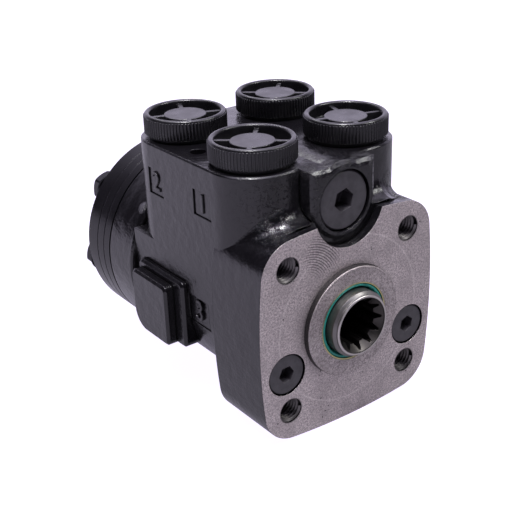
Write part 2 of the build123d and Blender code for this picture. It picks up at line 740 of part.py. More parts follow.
def shock_stack(side):
    """Plug, seal ring, spring, ball and seat of one shock valve, front to back."""
    x = side * shock_x
    face = shock_plug_sink
    shoulder = face + shock_plug_head
    plug = rod_y(shock_plug_r, face, shoulder, x, shock_z)
    plug = chamfer(plug.faces().sort_by(Axis.Y)[0].edges(), 0.5)
    thread_end = shoulder + shock_thread_len
    plug += rod_y(shock_thread_r - pin_fit, shoulder - 1, thread_end, x, shock_z)
    plug -= hex_prism(shock_hex, face - 1, face + 4.5, x, shock_z, 20 if side > 0 else 4)
    seal_y = shoulder - 1.3
    groove = ring_y_shape(shock_plug_r - 1.3, shock_plug_r + 1, seal_y - 0.8, seal_y + 0.8)
    plug -= Pos(x, 0, shock_z) * groove
    seal = Pos(x, seal_y, shock_z) * squeezed_ring(shock_plug_r - 0.5, 0.7)
    ball = Pos(x, shock_ball_y, shock_z) * Sphere(shock_ball_r)
    seat_y = shock_ball_y + shock_ball_r * 0.45
    seat_end = shock_ball_y + shock_ball_r + shock_seat_len - 2 * shock_hole_r - 0.3
    seat = rod_y(shock_thread_r - pin_fit, seat_y, seat_end, x, shock_z)
    seat -= rod_y(shock_hole_r, seat_y - 1, seat_end + 1, x, shock_z)
    seat -= Pos(x, shock_ball_y, shock_z) * Sphere(shock_ball_r + 0.05)
    spring = helix_spring(2.6, 1.1, thread_end, shock_ball_y - shock_ball_r * 0.55, 4, x, shock_z)
    return plug, seal, spring, ball, seat


def check_valve():
    bush = rod_z(check_bush_r - pin_fit, check_top_z - check_bush_t, check_top_z - 0.2, port_x, port_front_y)
    bush -= rod_z(3.1, check_top_z - check_bush_t - 1, check_top_z + 1, port_x, port_front_y)
    ball = Pos(port_x, port_front_y, check_floor_z + check_ball_r) * Sphere(check_ball_r)
    return bush, ball


# ---- Transport caps ------------------------------------------------------------------------

def knurl_outline():
    """Toothed outline of the grip: flat-topped ribs with hollows of about their own width."""
    pitch = 2 * math.pi / cap_knurl_count
    points = []
    for k in range(cap_knurl_count):
        for share, radius in ((0.0, cap_r), (0.45, cap_r), (0.6, cap_r - cap_knurl_depth),
                              (0.85, cap_r - cap_knurl_depth)):
            angle = (k + share) * pitch
            points.append((radius * math.cos(angle), radius * math.sin(angle)))
    return make_face(Polyline(*points, close=True))


def cap(turn):
    """Knurled plastic screw cap, drawn on its own axis and lifted to the gasket."""
    foot = gasket_t
    knurl_top = foot + cap_knurl_h
    top = knurl_top + cap_rim_h
    disc_top = top - cap_disc_drop
    body = Pos(0, 0, foot) * extrude(Circle(cap_r - cap_knurl_depth), amount=top - foot)
    body = chamfer(body.faces().sort_by(Axis.Z)[-1].edges(), cap_rim_h)
    body += Pos(0, 0, foot) * extrude(knurl_outline(), amount=cap_knurl_h)
    well = Pos(0, 0, top - cap_well_depth) * extrude(Circle(cap_rim_r), amount=cap_well_depth + 1)
    body -= well
    disc = Pos(0, 0, disc_top - cap_well_depth) * extrude(Circle(cap_disc_r), amount=cap_well_depth)
    spoke_len = 2 * cap_rim_r + 1
    for angle in (0, 90):
        spoke = Box(spoke_len, cap_spoke_w, disc_top - (top - cap_well_depth) + 1)
        disc += Pos(0, 0, (disc_top + top - cap_well_depth - 1) / 2) * Rot(0, 0, angle) * spoke
    body += disc
    shank = Pos(0, 0, -cap_shank_len) * extrude(Circle(cap_shank_r), amount=cap_shank_len + foot + 0.5)
    body += shank
    inner = cap_shank_r - cap_shank_wall
    bore = Pos(0, 0, -cap_shank_len - 1) * extrude(Circle(inner), amount=cap_shank_len + foot + 1)
    return Rot(0, 0, turn) * (body - bore)


def gasket():
    ring = Circle(gasket_r) - Circle(cap_shank_r + gasket_gap)
    return extrude(ring, amount=gasket_t)


# ---- Assembly ------------------------------------------------------------------------------

def build():
    parts = {"housing": housing()}
    parts["dust_seal_case"] = dust_seal_case()
    parts["shaft_seal_lip"] = shaft_seal_lip()
    parts["bearing_race_front"] = bearing_race(race_front_y)
    parts["needle_bearing"] = needle_bearing()
    parts["bearing_race_rear"] = bearing_race(race_rear_y)
    parts["spool"] = spool()
    parts["sleeve"] = sleeve()
    parts["cross_pin"] = cross_pin()
    parts["centering_springs"] = centering_springs()
    parts["cardan_shaft"] = cardan_shaft()
    parts["distributor_plate"] = distributor_plate()
    parts["gear_ring"] = gear_ring()
    parts["gear_rotor"] = gear_rotor()
    parts["spacer"] = spacer()
    parts["end_cover"] = end_cover()
    parts["o_ring_housing"] = oring(housing_len, 1)
    parts["o_ring_plate"] = oring(ring_y, -1)
    parts["o_ring_cover"] = oring(cover_y, 1)
    parts["pin_screw"] = around(cover_screw(pin_screw_ext), ring_lobes, screw_angle)[0]
    parts["cover_screws"] = around(cover_screw(), ring_lobes, screw_angle)[1:]
    parts["screw_washers"] = around(screw_washer(), ring_lobes, screw_angle)
    names = ("relief_plug", "relief_plug_seal", "relief_adjuster", "relief_spring", "relief_poppet",
             "relief_seat")
    parts.update(zip(names, relief_stack()))
    left = shock_stack(-1)
    right = shock_stack(1)
    for k, name in enumerate(("shock_plugs", "shock_plug_seals", "shock_springs")):
        parts[name] = [left[k], right[k]]
    parts["shock_ball_left"] = left[3]
    parts["shock_ball_right"] = right[3]
    parts["shock_seats"] = [left[4], right[4]]
    parts["check_bush"], parts["check_ball"] = check_valve()
    places = [(x, y) for y in port_ys for x in (-port_x, port_x)]
    labels = ("front_left", "front_right", "rear_left", "rear_right")
    for label, place, turn in zip(labels, places, cap_turns):
        seat = Pos(place[0], place[1], port_face_z)
        parts["cap_" + label] = seat * cap(turn)
        parts["gasket_" + label] = seat * gasket()
    return parts


def main():
    os.makedirs("parts", exist_ok=True)
    for name, shape in build().items():
        solids = shape if isinstance(shape, list) else [shape]
        solids = [s for item in solids for s in item.solids()]
        export_step(Compound(children=solids) if len(solids) > 1 else solids[0], f"parts/{name}.step")


main()
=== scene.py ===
import math

import bmesh
import bpy
from mathutils import Matrix, Vector


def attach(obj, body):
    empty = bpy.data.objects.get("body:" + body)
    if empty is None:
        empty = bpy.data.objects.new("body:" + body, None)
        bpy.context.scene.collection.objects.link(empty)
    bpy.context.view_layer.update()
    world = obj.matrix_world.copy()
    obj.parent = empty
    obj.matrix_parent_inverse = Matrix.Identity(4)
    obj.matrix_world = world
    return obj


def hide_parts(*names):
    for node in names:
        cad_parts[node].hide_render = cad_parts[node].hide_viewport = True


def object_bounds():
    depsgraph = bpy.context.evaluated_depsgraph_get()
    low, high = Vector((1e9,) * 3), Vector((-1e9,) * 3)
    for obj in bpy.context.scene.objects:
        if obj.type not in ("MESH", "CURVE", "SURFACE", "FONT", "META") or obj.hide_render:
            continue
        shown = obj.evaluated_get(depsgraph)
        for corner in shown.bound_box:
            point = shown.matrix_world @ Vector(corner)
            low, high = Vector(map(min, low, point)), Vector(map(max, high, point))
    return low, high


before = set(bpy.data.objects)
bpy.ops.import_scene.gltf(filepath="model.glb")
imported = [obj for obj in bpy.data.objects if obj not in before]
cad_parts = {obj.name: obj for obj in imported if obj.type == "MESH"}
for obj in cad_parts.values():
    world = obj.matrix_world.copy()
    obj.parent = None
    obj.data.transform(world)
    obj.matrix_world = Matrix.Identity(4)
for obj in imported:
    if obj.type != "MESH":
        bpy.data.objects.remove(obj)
cad_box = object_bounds()

# ---- Cast housing --------------------------------------------------------------------------
# The housing is grey iron cast in sand, sprayed with black enamel before its front face was
# milled, so the flange and the pilot round the shaft are bare grey iron with turning marks.
MM = 0.001
PORTS = {"front_left": (-22.2, 28.3), "front_right": (22.2, 28.3),
         "rear_left": (-22.2, 72.8), "rear_right": (22.2, 72.8)}
PORT_FACE = 61.0
MOUNT_HOLE = 29.168
SEAL_BORE_R = 18.7
PILOT_R = 22.2
SEAT_MARK_R = 33.8
PLATE_JOINT = 108.32


def start_finish(name, metallic=0.0, coat=0.0):
    """A new node material, its tree and its shader."""
    material = bpy.data.materials.new(name)
    material.use_nodes = True
    tree = material.node_tree
    shader = tree.nodes["Principled BSDF"]
    shader.inputs["Metallic"].default_value = metallic
    shader.inputs["Coat Weight"].default_value = coat
    shader.inputs["Coat Roughness"].default_value = 0.12
    return material, tree, shader


def feed(tree, value, socket):
    """Gives a socket a number, a colour or another node's output."""
    if isinstance(value, bpy.types.NodeSocket):
        tree.links.new(value, socket)
    else:
        socket.default_value = value


def step(tree, kind, sockets=None, **settings):
    """One shader node with its settings and its inputs; returns the node."""
    made = tree.nodes.new("ShaderNode" + kind)
    for key, value in settings.items():
        setattr(made, key, value)
    for key, value in (sockets or {}).items():
        feed(tree, value, made.inputs[key])
    return made


def sums(tree, operation, first, second=0.0):
    return step(tree, "Math", {0: first, 1: second}, operation=operation).outputs[0]


def ramp(tree, value, low, high, start=0.0, end=1.0):
    """Smooth change from start to end while value runs from low to high."""
    made = step(tree, "MapRange", {"Value": value, "From Min": low, "From Max": high, "To Min": start,
                                   "To Max": end}, interpolation_type="SMOOTHSTEP")
    return made.outputs["Result"]


def past(tree, value, low, high, share=1.0):
    """0 up to low millimetres, rising to share at high."""
    return ramp(tree, value, low * MM, high * MM, 0.0, share)


def within(tree, value, low, high, share=1.0):
    """share up to low millimetres, fading to 0 at high."""
    return ramp(tree, value, low * MM, high * MM, share, 0.0)


def tones(tree, share, dark, light):
    """Colour between two tones."""
    made = step(tree, "Mix", {"Factor": share, 6: (*dark, 1), 7: (*light, 1)}, data_type="RGBA")
    return made.outputs[2]


def blend(tree, share, under, over):
    """Colour sockets laid over each other by a share."""
    made = step(tree, "Mix", {"Factor": share, 6: under, 7: over}, data_type="RGBA")
    return made.outputs[2]


def level(tree, share, under, over):
    return step(tree, "Mix", {"Factor": share, 2: under, 3: over}, data_type="FLOAT").outputs[0]


def object_place(tree):
    return step(tree, "TexCoord").outputs["Object"]


def grain(tree, place, size, detail=3.0, rough=0.5):
    """Noise whose lumps are about size millimetres wide."""
    made = step(tree, "TexNoise", {"Vector": place, "Scale": 1 / (size * MM), "Detail": detail,
                                   "Roughness": rough})
    return made.outputs["Fac"]


def relief(tree, height, depth, under=None, strength=1.0):
    """Bump of that depth in millimetres over another one."""
    made = step(tree, "Bump", {"Height": height, "Distance": depth * MM, "Strength": strength})
    if under is not None:
        feed(tree, under, made.inputs["Normal"])
    return made.outputs["Normal"]


def soft_edge(tree, radius):
    """Broken edge, as paint or a deburring tool leaves it."""
    return step(tree, "Bevel", {"Radius": radius * MM}, samples=6).outputs["Normal"]


def near(tree, place, point, radius):
    """1 at a point in millimetres, fading to 0 at radius."""
    gap = step(tree, "VectorMath", {0: place, 1: [v * MM for v in point]}, operation="DISTANCE")
    return ramp(tree, gap.outputs["Value"], 0.25 * radius * MM, radius * MM, 1.0, 0.0)


def shaft_radius(tree, place, x=0.0, z=0.0):
    """Distance from a line along the shaft through x, z."""
    flat = step(tree, "VectorMath", {0: place, 1: (1, 0, 1)}, operation="MULTIPLY").outputs[0]
    gap = step(tree, "VectorMath", {0: flat, 1: (x * MM, 0, z * MM)}, operation="DISTANCE")
    return gap.outputs["Value"]


def lines(tree, value, pitch, detail=4.0):
    """Irregular lines across a distance, about pitch millimetres apart."""
    made = step(tree, "TexNoise", {"W": value, "Scale": 1 / (pitch * MM), "Detail": detail,
                                   "Roughness": 0.6}, noise_dimensions="1D")
    return made.outputs["Fac"]


def cast_finish():
    material, tree, shader = start_finish("cast_iron_enamel")
    place = object_place(tree)
    split = step(tree, "SeparateXYZ", {0: place})
    depth = split.outputs["Y"]
    across = shaft_radius(tree, place)
    milled = within(tree, depth, 0.05, 0.15)
    bored = within(tree, across, SEAL_BORE_R, SEAL_BORE_R + 0.02)
    bare = sums(tree, "MAXIMUM", milled, bored)
    # enamel: pooled and glossy, over a skin that is rougher in the sand's corners
    cloud = grain(tree, place, 14, 3)
    skin = grain(tree, place, 1.0, 4, 0.66)
    swell = grain(tree, place, 4.5, 2, 0.4)
    runs = step(tree, "Mapping", {"Vector": place, "Rotation": (0.9, 0, 0), "Scale": (1, 0.35, 1)})
    streaks = grain(tree, runs.outputs[0], 1.1, 3, 0.5)
    sand = grain(tree, place, 0.62, 2, 0.8)
    rough_spots = near(tree, place, (-38, 5, 43), 9)
    for point, radius in (((-14, 10, 62), 7), ((12, 6, 62), 9), ((0, 3, 33), 7), ((31, 8, 44), 9),
                          ((-35, 92, 27), 4), ((-30, 9, 44), 7), ((-4, 4, 62), 7)):
        rough_spots = sums(tree, "MAXIMUM", rough_spots, near(tree, place, point, radius))
    # painted shade: ambient occlusion finds the corners and creases of the casting, which are painted dark
    shelter = step(tree, "AmbientOcclusion", {"Distance": 1.6 * MM}, samples=8, only_local=True)
    crevice_shade = ramp(tree, shelter.outputs["AO"], 0.50, 0.80, 1.0, 0.0)
    pitted = ramp(tree, grain(tree, place, 1.5, 4, 0.75), 0.53, 0.66)
    pitted = sums(tree, "MULTIPLY", pitted, near(tree, place, (-8, 6, 52), 44))
    sandy = ramp(tree, sums(tree, "MULTIPLY", rough_spots, ramp(tree, cloud, 0.3, 0.6)), 0.05, 0.8)
    paint_colour = tones(tree, cloud, (0.0035, 0.0032, 0.0040), (0.0060, 0.0055, 0.0068))
    paint_gloss = level(tree, sandy, ramp(tree, cloud, 0.3, 0.7, 0.11, 0.20), 0.10)
    # milled iron: grey grain with graphite flecks and pores, darker where the cutter dwelt, with painted
    # shade round the mouths of the mounting holes and on the pilot's side wall and at its foot
    fleck = grain(tree, place, 0.22, 3, 0.85)
    coarse = grain(tree, place, 0.75, 3, 0.7)
    patch = grain(tree, place, 9, 4)
    turning = lines(tree, across, 1.1)
    cells = step(tree, "TexVoronoi", {"Vector": place, "Scale": 1 / (3.2 * MM)})
    pores = sums(tree, "MULTIPLY", ramp(tree, cells.outputs["Distance"], 0.07, 0.13, 1.0, 0.0),
                 ramp(tree, patch, 0.50, 0.56))
    folded = step(tree, "VectorMath", {0: place}, operation="ABSOLUTE").outputs[0]
    hole_gap = shaft_radius(tree, folded, MOUNT_HOLE, MOUNT_HOLE)
    hole_shade = within(tree, hole_gap, 5.02, 5.45, 0.75)
    step_shade = sums(tree, "MULTIPLY", past(tree, across, PILOT_R - 0.12, PILOT_R - 0.06),
                      within(tree, across, PILOT_R + 0.05, PILOT_R + 0.30, 0.93))
    cutter_gap = shaft_radius(tree, place, -21, 19)
    cutter = sums(tree, "SINE", sums(tree, "MULTIPLY", cutter_gap, 2 * math.pi / (0.95 * MM)))
    cutter = sums(tree, "MULTIPLY", cutter, near(tree, place, (-13, 0, 31), 12))
    seat_mark = sums(tree, "MULTIPLY", past(tree, across, SEAT_MARK_R - 0.5, SEAT_MARK_R),
                     within(tree, across, SEAT_MARK_R, SEAT_MARK_R + 0.5))
    share = level(tree, 0.45, ramp(tree, fleck, 0.40, 0.60), ramp(tree, coarse, 0.38, 0.62))
    iron_colour = tones(tree, share, (0.17, 0.153, 0.153), (0.90, 0.81, 0.79))
    iron_colour = blend(tree, ramp(tree, patch, 0.35, 0.70, 0.0, 0.45), iron_colour, (0.33, 0.295, 0.29, 1))
    iron_colour = blend(tree, sums(tree, "MULTIPLY", seat_mark, 0.30), iron_colour, (0.95, 0.90, 0.86, 1))
    raised = within(tree, depth, -0.5, -0.4, 0.22)
    # cutter marks, pores and the darker pilot face are the iron's own; hole_shade and step_shade add painted
    # shade
    marks_and_painted_shade = ramp(tree, cutter, 0.0, 0.8, 0.0, 0.70)
    for dark_part in (hole_shade, step_shade, pores, raised):
        marks_and_painted_shade = sums(tree, "MAXIMUM", marks_and_painted_shade, dark_part)
    iron_colour = blend(tree, marks_and_painted_shade, iron_colour, (0.020, 0.019, 0.020, 1))
    iron_gloss = ramp(tree, turning, 0.3, 0.7, 0.38, 0.55)
    cast = sums(tree, "SUBTRACT", 1.0, bare)
    # painted shade in the corners, found by ambient occlusion, near black and dull, and a dark dull line at
    # the joint with the gear set
    joint = past(tree, depth, PLATE_JOINT - 0.10, PLATE_JOINT)
    joint_and_crevice_shade = sums(tree, "MAXIMUM", joint, sums(tree, "MULTIPLY", crevice_shade, cast))
    paint_colour = blend(tree, joint_and_crevice_shade, paint_colour, (0.0006, 0.0006, 0.0006, 1))
    paint_gloss = level(tree, joint_and_crevice_shade, paint_gloss, 0.8)
    feed(tree, blend(tree, bare, paint_colour, iron_colour), shader.inputs["Base Color"])
    feed(tree, level(tree, bare, paint_gloss, iron_gloss), shader.inputs["Roughness"])
    feed(tree, sums(tree, "MAXIMUM", sums(tree, "MULTIPLY", bare, 0.85), joint_and_crevice_shade),
         shader.inputs["Metallic"])
    normal = soft_edge(tree, 0.45)
    normal = relief(tree, sums(tree, "MULTIPLY", swell, cast), 0.24, normal)
    normal = relief(tree, sums(tree, "MULTIPLY", streaks, cast), 0.07, normal)
    normal = relief(tree, sums(tree, "MULTIPLY", skin, cast), 0.09, normal)
    normal = relief(tree, sums(tree, "MULTIPLY", sums(tree, "MULTIPLY", sand, sandy), cast), 1.5, normal)
    normal = relief(tree, sums(tree, "SUBTRACT", 1.0, sums(tree, "MULTIPLY", pitted, cast)), 0.10, normal)
    normal = relief(tree, sums(tree, "MULTIPLY", turning, bare), 0.02, normal)
    normal = relief(tree, sums(tree, "MULTIPLY", share, bare), 0.035, normal)
    normal = relief(tree, sums(tree, "MULTIPLY", cutter, bare), 0.03, normal)
    feed(tree, normal, shader.inputs["Normal"])
    return material


def dress(material, *nodes):
    """Gives CAD nodes a finish in every slot."""
    for name in nodes:
        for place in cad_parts[name].material_slots:
            place.material = material


dress(cast_finish(), "housing")

# The four mounting holes are tapped M10 in the bare iron. Each thread is one helical ridge
# with a flat crest, lying against the hole's wall and running out of sight.
THREAD_PITCH = 1.5


def helix_ridge(bm, profile, centre, axis, pitch, turns, steps_per_turn):
    """Sweeps a closed profile of (radius, height) points along a helix and closes both ends."""
    verts = [bm.verts.new((radius, 0, height)) for radius, height in profile]
    edges = [bm.edges.new((verts[k - 1], verts[k])) for k in range(len(verts))]
    count = int(turns * steps_per_turn)
    bmesh.ops.spin(bm, geom=verts + edges, cent=(0, 0, 0), axis=(0, 0, 1),
                   dvec=(0, 0, pitch / steps_per_turn), angle=turns * 2 * math.pi, steps=count)
    bmesh.ops.holes_fill(bm, edges=[e for e in bm.edges if e.is_boundary], sides=0)
    bmesh.ops.recalc_face_normals(bm, faces=bm.faces)
    turn = Vector((0, 0, 1)).rotation_difference(Vector(axis)).to_matrix()
    bmesh.ops.rotate(bm, verts=bm.verts, cent=(0, 0, 0), matrix=turn)
    bmesh.ops.translate(bm, verts=bm.verts, vec=centre)


def piece(name, bm, body, material, smooth=40):
    """A finished mesh in millimetres becomes a named piece that rides on a body."""
    bmesh.ops.scale(bm, verts=bm.verts, vec=(MM, MM, MM))
    mesh = bpy.data.meshes.new(name)
    bm.to_mesh(mesh)
    bm.free()
    mesh.materials.append(material)
    mesh.shade_smooth()
    mesh.set_sharp_from_angle(angle=math.radians(smooth))
    made = bpy.data.objects.new(name, mesh)
    bpy.context.scene.collection.objects.link(made)
    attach(made, body)
    return made


def steel_finish(name, dark, light, roughness, along=True):
    """Turned or ground steel, its fine lines running round the shaft."""
    material, tree, shader = start_finish(name, metallic=1.0)
    place = object_place(tree)
    split = step(tree, "SeparateXYZ", {0: place})
    scratch = lines(tree, split.outputs["Y"] if along else shaft_radius(tree, place), 0.22)
    cloud = grain(tree, place, 5, 3)
    fine = grain(tree, place, 0.5, 3, 0.7)
    share = level(tree, 0.5, cloud, scratch)
    feed(tree, tones(tree, share, dark, light), shader.inputs["Base Color"])
    feed(tree, ramp(tree, share, 0.3, 0.7, roughness * 0.75, roughness * 1.3), shader.inputs["Roughness"])
    normal = soft_edge(tree, 0.15)
    normal = relief(tree, scratch, 0.006, normal)
    feed(tree, relief(tree, fine, 0.004, normal), shader.inputs["Normal"])
    return material


# painted shade: the thread steel is much darker than the milled face and stands in for the shade inside the
# holes
shaded_thread_steel = steel_finish("tapped_iron_painted_shade", (0.05, 0.046, 0.046), (0.30, 0.285, 0.28), 0.42)
for label, side, rise in (("top_left", -1, 1), ("top_right", 1, 1),
                          ("low_left", -1, -1), ("low_right", 1, -1)):
    thread = bmesh.new()
    helix_ridge(thread, [(4.99, 0.02), (4.22, 0.60), (4.22, 0.80), (4.99, 1.38)],
                (side * MOUNT_HOLE, 0.35, rise * MOUNT_HOLE), (0, 1, 0), THREAD_PITCH, 9, 36)
    piece("mount_thread_" + label, thread, "housing", shaded_thread_steel)

# A cast fillet runs from the block's round front corners down to the flange top. It is widest
# at the front, thins out round each corner, and has the housing's own skin.
CORNER_AXIS = (22.2, 28.3)
CORNER_TURN = 62
CORNER_R = 18.0
FLANGE_TOP = 42.1
FLANGE_HALF = 42.5
FLANGE_BOW = 3.0
FLANGE_CORNER = 14.0
FILLET_R = 7.0


def flange_height(x):
    """Height of the flange top over the shaft, falling away at its round corners."""
    bow = FLANGE_BOW * (x / FLANGE_HALF) ** 2 * min(1.0, max(0.0, abs(x) - CORNER_AXIS[0]) / 4.0)
    round_part = min(13.5, max(0.0, abs(x) - 27.5))
    return FLANGE_TOP - bow - FLANGE_CORNER + math.sqrt(FLANGE_CORNER ** 2 - round_part ** 2)


def corner_fillet(bm, side):
    """Concave strip spun round one corner of the block, then thinned and laid on the flange."""
    angles = [math.radians(a) for a in range(0, 91, 6)]
    arc = [(CORNER_R + FILLET_R * (1 - math.sin(a)), FILLET_R * (1 - math.cos(a))) for a in angles]
    profile = [(CORNER_R - 3, 0), (CORNER_R + FILLET_R, -5)] + arc + [(CORNER_R - 3, FILLET_R)]
    verts = [bm.verts.new((0, -radius, height)) for radius, height in profile]
    edges = [bm.edges.new((verts[k - 1], verts[k])) for k in range(len(verts))]
    bmesh.ops.spin(bm, geom=verts + edges, cent=(0, 0, 0), axis=(0, 0, 1),
                   angle=side * math.radians(CORNER_TURN), steps=40)
    bmesh.ops.holes_fill(bm, edges=[e for e in bm.edges if e.is_boundary], sides=0)
    for vert in bm.verts:
        radius = math.hypot(vert.co.x, vert.co.y)
        turned = math.degrees(math.atan2(abs(vert.co.x), -vert.co.y))
        keep = 1.0 - 0.92 * (turned / CORNER_TURN) ** 1.3
        wide = CORNER_R + (radius - CORNER_R) * (keep if radius > CORNER_R else 1.0)
        vert.co.x, vert.co.y = vert.co.x * wide / radius, vert.co.y * wide / radius
        vert.co.z = vert.co.z * keep if vert.co.z > 0 else vert.co.z
        vert.co += Vector((side * CORNER_AXIS[0], CORNER_AXIS[1], 0))
        vert.co.z += flange_height(vert.co.x)
    bmesh.ops.recalc_face_normals(bm, faces=bm.faces)


housing_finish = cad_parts["housing"].material_slots[0].material
for label, side in (("left", -1), ("right", 1)):
    fillet = bmesh.new()
    corner_fillet(fillet, side)
    piece("corner_fillet_" + label, fillet, "housing", housing_finish, smooth=30)

# Cast numerals tell the ports apart. Each stands up from the floor of a shallow box sunk in
# the left wall, cast with the wall and sprayed with it.


def numeral(bm, text, y, z, height, wall, rise):
    """A figure that stands up from the left wall, read from outside."""
    curve = bpy.data.curves.new("figure", "FONT")
    curve.body = text
    curve.align_x = "CENTER"
    curve.align_y = "CENTER"
    curve.size = height * 1.35
    curve.extrude = rise
    curve.bevel_depth = 0.14
    curve.bevel_resolution = 2
    curve.resolution_u = 6
    drawn = bpy.data.objects.new("figure", curve)
    bpy.context.scene.collection.objects.link(drawn)
    bpy.context.view_layer.update()
    drawing = bpy.data.meshes.new_from_object(drawn.evaluated_get(bpy.context.evaluated_depsgraph_get()))
    bpy.data.objects.remove(drawn)
    bm.from_mesh(drawing)
    bpy.data.meshes.remove(drawing)
    bmesh.ops.remove_doubles(bm, verts=bm.verts, dist=0.001)
    turn = Matrix(((0, 0, -1), (-1, 0, 0), (0, 1, 0)))
    bmesh.ops.rotate(bm, verts=bm.verts, cent=(0, 0, 0), matrix=turn)
    bmesh.ops.translate(bm, verts=bm.verts, vec=(wall, y, z))


for text, y0, y1, z0, z1, height in (("2", 63.3, 73.5, 40.5, 51.2, 8.0),
                                     ("1", 30.6, 42.0, 41.0, 51.0, 7.6),
                                     ("3", 36.0, 50.0, -7.0, 5.0, 9.2)):
    figure = bmesh.new()
    numeral(figure, text, (y0 + y1) / 2, (z0 + z1) / 2, height, -39.7, 0.45)
    piece("cast_numeral_" + text, figure, "housing", housing_finish)

# ---- Shaft seal and bearing ----------------------------------------------------------------
# A pressed case with yellow passivation fills the pocket round the shaft. The green nitrile
# lip inside it wipes the shaft, and a caged roller bearing with two races lies behind.


def rubber_finish(name, dark, light, roughness):
    material, tree, shader = start_finish(name)
    place = object_place(tree)
    bloom = grain(tree, place, 2.5, 4)
    fine = grain(tree, place, 0.25, 3)
    feed(tree, tones(tree, ramp(tree, bloom, 0.3, 0.7), dark, light), shader.inputs["Base Color"])
    feed(tree, ramp(tree, bloom, 0.3, 0.7, roughness * 0.85, roughness * 1.2), shader.inputs["Roughness"])
    feed(tree, relief(tree, fine, 0.012), shader.inputs["Normal"])
    return material


green_rubber = rubber_finish("green_nitrile", (0.014, 0.25, 0.20), (0.024, 0.36, 0.285), 0.40)
black_rubber = rubber_finish("black_nitrile", (0.008, 0.008, 0.009), (0.016, 0.016, 0.018), 0.5)
passivated = steel_finish("yellow_passivated", (0.42, 0.38, 0.17), (0.70, 0.64, 0.34), 0.30, along=False)
bearing_steel = steel_finish("bearing_steel", (0.40, 0.40, 0.41), (0.60, 0.60, 0.61), 0.18)
dress(passivated, "dust_seal_case")
dress(green_rubber, "shaft_seal_lip")
dress(bearing_steel, "bearing_race_front", "needle_bearing", "bearing_race_rear", "check_ball",
      "shock_ball_left", "shock_ball_right", "cross_pin")

# ---- Spool, sleeve and cardan shaft --------------------------------------------------------
# The spool is ground steel with a broached spline in its mouth. It turns in a ground sleeve
# against leaf springs, and a cardan shaft carries the gear set's turning back to the sleeve.
SPLINE_MOUTH_R = 11.25
SPOOL_TIP_R = 12.2
spool_steel = steel_finish("spool_steel", (0.11, 0.107, 0.102), (0.27, 0.26, 0.25), 0.42)
spool_tree = spool_steel.node_tree
spool_shader = spool_tree.nodes["Principled BSDF"]
spool_place = shaft_radius(spool_tree, object_place(spool_tree))
# painted shade: the spline inside the spool's mouth is painted dark
spool_mouth_shade = within(spool_tree, spool_place, SPLINE_MOUTH_R - 0.05, SPLINE_MOUTH_R + 0.15, 0.80)
spool_colour = blend(spool_tree, spool_mouth_shade, spool_shader.inputs["Base Color"].links[0].from_socket,
                     (0.035, 0.031, 0.028, 1))
# painted highlight: a light ring on the spool's tip, between the spline and the outer edge
spool_tip_highlight = sums(spool_tree, "MULTIPLY",
                 past(spool_tree, spool_place, SPLINE_MOUTH_R + 0.05, SPLINE_MOUTH_R + 0.15),
                 within(spool_tree, spool_place, SPOOL_TIP_R - 0.2, SPOOL_TIP_R, 0.75))
feed(spool_tree, blend(spool_tree, spool_tip_highlight, spool_colour, (0.62, 0.59, 0.56, 1)),
     spool_shader.inputs["Base Color"])
ground_steel = steel_finish("ground_steel", (0.30, 0.30, 0.31), (0.48, 0.48, 0.49), 0.22)
spring_steel = steel_finish("blued_spring_steel", (0.05, 0.05, 0.07), (0.14, 0.14, 0.18), 0.3)
dress(spool_steel, "spool")
dress(ground_steel, "sleeve", "cardan_shaft", "gear_rotor", "spacer", "relief_adjuster", "relief_poppet",
      "relief_seat", "shock_seats", "check_bush")
dress(spring_steel, "centering_springs", "relief_spring", "shock_springs")

# ---- Gear set ------------------------------------------------------------------------------
# Distributor plate, lobed ring and end cover are turned discs, stacked on the housing with
# cord rings between and sprayed satin black with it, so their joints show as thin lines.


def enamel_finish(name, dark, light, roughness):
    material, tree, shader = start_finish(name)
    shader.inputs["Specular IOR Level"].default_value = 0.2
    place = object_place(tree)
    split = step(tree, "SeparateXYZ", {0: place})
    cloud = grain(tree, place, 12, 3)
    peel = grain(tree, place, 0.9, 3)
    turned = lines(tree, split.outputs["Y"], 0.5)
    joint = ramp(tree, split.outputs["Y"], 0.10928, 0.10936, 1.0, 0.0)
    colour = blend(tree, joint, tones(tree, cloud, dark, light), (0.0006, 0.0006, 0.0006, 1))
    feed(tree, colour, shader.inputs["Base Color"])
    gloss = ramp(tree, cloud, 0.3, 0.7, roughness * 0.8, roughness * 1.2)
    feed(tree, level(tree, joint, gloss, 0.8), shader.inputs["Roughness"])
    feed(tree, joint, shader.inputs["Metallic"])
    normal = soft_edge(tree, 0.3)
    normal = relief(tree, peel, 0.03, normal)
    feed(tree, relief(tree, turned, 0.006, normal), shader.inputs["Normal"])
    return material


satin_black = enamel_finish("satin_black_enamel", (0.0040, 0.0037, 0.0046), (0.0070, 0.0065, 0.0080), 0.20)
dress(satin_black, "distributor_plate", "gear_ring", "end_cover")
dress(black_rubber, "o_ring_housing", "o_ring_plate", "o_ring_cover", "relief_plug_seal", "shock_plug_seals")

# ---- Screws and plugs ----------------------------------------------------------------------
# Seven screws with soft washers hold the gear set. The relief plug and the two shock-valve
# plugs are turned steel with hexagon sockets, all blackened by the same hot oxide bath.


def oxide_finish(name, dark, light, roughness):
    material, tree, shader = start_finish(name)
    place = object_place(tree)
    cloud = grain(tree, place, 3, 4)
    fine = grain(tree, place, 0.3, 3, 0.7)
    feed(tree, tones(tree, ramp(tree, cloud, 0.3, 0.7), dark, light), shader.inputs["Base Color"])
    feed(tree, ramp(tree, cloud, 0.3, 0.7, roughness * 0.85, roughness * 1.15), shader.inputs["Roughness"])
    normal = soft_edge(tree, 0.25)
    feed(tree, relief(tree, fine, 0.012, normal), shader.inputs["Normal"])
    return material


